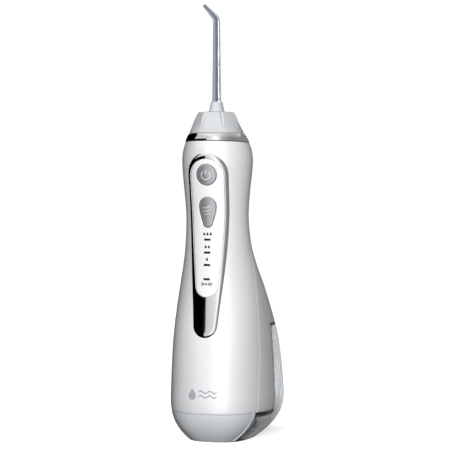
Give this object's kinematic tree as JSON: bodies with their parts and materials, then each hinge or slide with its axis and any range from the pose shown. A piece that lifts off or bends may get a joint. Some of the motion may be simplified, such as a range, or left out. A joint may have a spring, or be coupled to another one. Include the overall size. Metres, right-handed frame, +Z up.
{
  "type": "cordless water flosser",
  "caption": "Hand-held dental water jet on a rounded reservoir base, with a lobed collar, a thin bent nozzle and a keyhole-shaped control panel.",
  "frame": {"origin": "where the nozzle's axis meets the surface that the flosser stands on", "axes": "+Z up along the nozzle and its shank, -Y towards the control panel, +Y towards the reservoir's fill door, +X to the right of someone who faces the control panel"},
  "size_m": [0.07, 0.0986, 0.2978],
  "materials": {
    "pearl": "pearlescent silver-white, glossy",
    "grey_plastic": "satin grey",
    "light_grey_plastic": "satin light grey",
    "chrome": "mirror",
    "white_plastic": "glossy white",
    "button_silver": "satin silver paint",
    "indicator": "dark tinted light pipe",
    "clear_nozzle": "clear moulded plastic",
    "clear_tank": "smoky clear moulded plastic",
    "black_rubber": "matt",
    "black_plastic": "satin black",
    "steel": "drawn",
    "nylon": "natural moulded",
    "brass": "machined",
    "board_green": "solder mask",
    "cell_sleeve": "shrink sleeve"
  },
  "bodies": {
    "handle": {"front_shell": "pearl", "rear_shell": "pearl", "base_cap": "grey_plastic", "chrome_ring": "chrome", "panel_bezel": "chrome", "panel_inlay": "white_plastic", "led_window_high": "indicator", "led_window_medium": "indicator", "led_window_low": "indicator", "led_window_charge": "indicator", "tip_socket": "nylon", "tip_o_ring": "black_rubber", "eject_spring": "steel", "charge_port": "black_plastic", "charge_contact_left": "brass", "charge_contact_right": "brass", "port_seal": "black_rubber", "inlet_nipple": "nylon", "inlet_hose": "black_rubber", "outlet_hose": "black_rubber", "pump_head": "nylon", "inlet_valve_disc": "black_rubber", "pump_cylinder": "nylon", "gear_axle": "steel", "motor_can": "steel", "motor_end_cap": "black_plastic", "chassis": "nylon", "chassis_screw_1": "steel", "chassis_screw_2": "steel", "chassis_screw_3": "steel", "chassis_screw_4": "steel", "battery_cell_left": "cell_sleeve", "battery_cell_right": "cell_sleeve", "battery_strap": "steel", "circuit_board": "board_green", "power_switch": "black_plastic", "mode_switch": "black_plastic"},
    "power": {"power_button": "button_silver"},
    "mode": {"mode_button": "button_silver"},
    "collar": {"rotation_collar": "light_grey_plastic", "tip_hub": "light_grey_plastic"},
    "tip": {"nozzle_tip": "clear_nozzle"},
    "eject": {"eject_button": "grey_plastic", "latch_plate": "nylon"},
    "tank": {"reservoir": "clear_tank", "pickup_elbow": "nylon", "door_hinge_pin": "steel"},
    "door": {"fill_door": "clear_tank", "door_gasket": "black_rubber"},
    "gear": {"drive_gear": "nylon"},
    "rotor": {"motor_shaft": "steel", "motor_pinion": "brass"},
    "plunger": {"piston": "nylon", "piston_seal": "black_rubber", "wrist_pin": "steel", "connecting_rod": "nylon"},
    "valve": {"outlet_valve_ball": "steel"}
  },
  "joints": [
    {"name": "power_press", "type": "slide", "parent": "handle", "child": "power", "axis": [0, 1, 0], "range_m": [0, 0.0008], "stiffness_N_per_m": 1500, "springref_m": -0.0005},
    {"name": "mode_press", "type": "slide", "parent": "handle", "child": "mode", "axis": [0, 1, 0], "range_m": [0, 0.0008], "stiffness_N_per_m": 1500, "springref_m": -0.0005},
    {"name": "collar_turn", "type": "hinge", "parent": "handle", "child": "collar", "pos_m": [0, 0, 0.2168], "axis": [0, 0, 1], "continuous": true},
    {"name": "tip_pull", "type": "slide", "parent": "collar", "child": "tip", "axis": [0, 0, 1], "range_m": [0, 0.035]},
    {"name": "eject_press", "type": "slide", "parent": "handle", "child": "eject", "axis": [0, -1, 0], "range_m": [0, 0.002], "stiffness_N_per_m": 1000, "springref_m": -0.001, "deforming": ["eject_spring"]},
    {"name": "tank_slide", "type": "slide", "parent": "handle", "child": "tank", "axis": [0, 1, 0], "range_m": [0, 0.09]},
    {"name": "door_swing", "type": "hinge", "parent": "tank", "child": "door", "pos_m": [0, 0.0695, 0.0486], "axis": [-1, 0, 0], "range_deg": [0, 100]},
    {"name": "gear_spin", "type": "hinge", "parent": "handle", "child": "gear", "pos_m": [0, 0.0104, 0.0642], "axis": [0, 1, 0], "continuous": true},
    {"name": "motor_spin", "type": "hinge", "parent": "handle", "child": "rotor", "pos_m": [0, 0, 0.048], "axis": [0, 1, 0], "continuous": true},
    {"name": "piston_stroke", "type": "slide", "parent": "handle", "child": "plunger", "axis": [0, 0, 1], "range_m": [0, 0.008]},
    {"name": "outlet_valve_lift", "type": "slide", "parent": "handle", "child": "valve", "axis": [0, 0, 1], "range_m": [0, 0.001]}
  ],
  "couplings": [
    {"joint": "motor_spin", "follows": "gear_spin", "ratio": -4.4}
  ]
}
